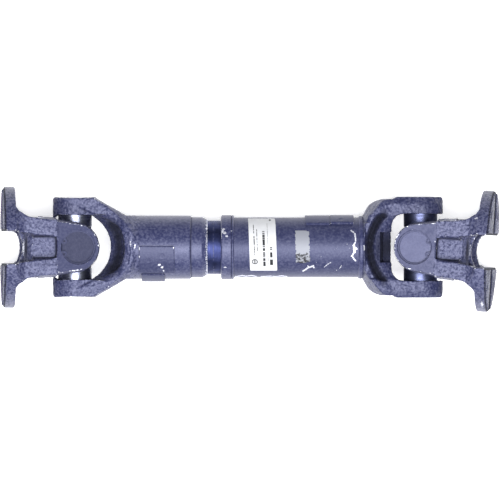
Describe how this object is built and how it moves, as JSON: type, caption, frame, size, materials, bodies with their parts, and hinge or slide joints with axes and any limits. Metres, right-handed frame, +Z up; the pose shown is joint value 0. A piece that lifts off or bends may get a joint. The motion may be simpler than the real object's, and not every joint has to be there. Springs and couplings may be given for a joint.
{
  "type": "universal joint shaft",
  "caption": "Truck propeller shaft: a tube with a splined length piece between two universal joints that end in slotted, cross-toothed flange yokes.",
  "frame": {"origin": "on the floor that the shaft lies on, under the middle of the shaft's axis, half-way between the two joint centres", "axes": "+X along the shaft from the sliding end to the welded end, +Y across the floor along the shaft yokes' bearing pins, +Z up"},
  "size_m": [0.7549, 0.1862, 0.1844],
  "materials": {
    "forged_flange_yokes": "satin paint over a rough forging",
    "slip_yoke_forging": "satin paint over a rough forging, bare ground sleeve",
    "weld_yoke_forging": "satin paint over a rough forging",
    "painted_tube": "satin paint over drawn tube",
    "balance_plates": "satin paint over pressed plate",
    "part_label": "coated paper",
    "test_label": "silver film, torn",
    "bearing_cups": "ground",
    "circlips": "phosphated spring steel",
    "needles": "ground",
    "rubber_seals": "moulded",
    "thrust_washers": "moulded",
    "nipples": "plated",
    "crosses": "ground trunnions on a forged middle",
    "splined_stub": "rolled spline"
  },
  "bodies": {
    "tube_assembly": {"lip_seal": "rubber_seals", "part_label": "part_label", "right_circlip_back": "circlips", "right_circlip_front": "circlips", "right_cup_back": "bearing_cups", "right_cup_front": "bearing_cups", "right_shaft_side_needles": "needles", "right_shaft_side_seals": "rubber_seals", "right_shaft_side_thrust_washers": "thrust_washers", "seal_collar": "painted_tube", "splined_stub": "splined_stub", "test_label": "test_label", "tube": "painted_tube", "tube_plate_left": "balance_plates", "tube_plate_right": "balance_plates", "weld_yoke": "weld_yoke_forging", "yoke_weld": "painted_tube"},
    "slip_yoke": {"hub_plate_front": "balance_plates", "hub_plate_low": "balance_plates", "left_circlip_back": "circlips", "left_circlip_front": "circlips", "left_cup_back": "bearing_cups", "left_cup_front": "bearing_cups", "left_shaft_side_needles": "needles", "left_shaft_side_seals": "rubber_seals", "left_shaft_side_thrust_washers": "thrust_washers", "slip_yoke": "slip_yoke_forging"},
    "left_cross": {"left_cross": "crosses", "left_grease_nipple": "nipples"},
    "left_flange_yoke": {"left_circlip_bottom": "circlips", "left_circlip_top": "circlips", "left_cup_bottom": "bearing_cups", "left_cup_top": "bearing_cups", "left_flange_side_needles": "needles", "left_flange_side_seals": "rubber_seals", "left_flange_side_thrust_washers": "thrust_washers", "left_flange_yoke": "forged_flange_yokes"},
    "right_cross": {"right_cross": "crosses", "right_grease_nipple": "nipples"},
    "right_flange_yoke": {"right_circlip_bottom": "circlips", "right_circlip_top": "circlips", "right_cup_bottom": "bearing_cups", "right_cup_top": "bearing_cups", "right_flange_side_needles": "needles", "right_flange_side_seals": "rubber_seals", "right_flange_side_thrust_washers": "thrust_washers", "right_flange_yoke": "forged_flange_yokes"}
  },
  "joints": [
    {"name": "slip", "type": "slide", "parent": "tube_assembly", "child": "slip_yoke", "axis": [1, 0, 0], "range_m": [-0.06, 0.015]},
    {"name": "left_yoke_pivot", "type": "hinge", "parent": "slip_yoke", "child": "left_cross", "pos_m": [-0.257, 0, 0.0797], "axis": [0, 1, 0], "range_deg": [-32.5, 17.5]},
    {"name": "left_flange_pivot", "type": "hinge", "parent": "left_cross", "child": "left_flange_yoke", "pos_m": [-0.257, 0, 0.0797], "axis": [0.1305, 0, 0.9914], "range_deg": [-25, 25]},
    {"name": "right_yoke_pivot", "type": "hinge", "parent": "tube_assembly", "child": "right_cross", "pos_m": [0.257, 0, 0.0797], "axis": [0, 1, 0], "range_deg": [-14.5, 35.5]},
    {"name": "right_flange_pivot", "type": "hinge", "parent": "right_cross", "child": "right_flange_yoke", "pos_m": [0.257, 0, 0.0797], "axis": [-0.1822, 0, 0.9833], "range_deg": [-21.5, 28.5]}
  ]
}
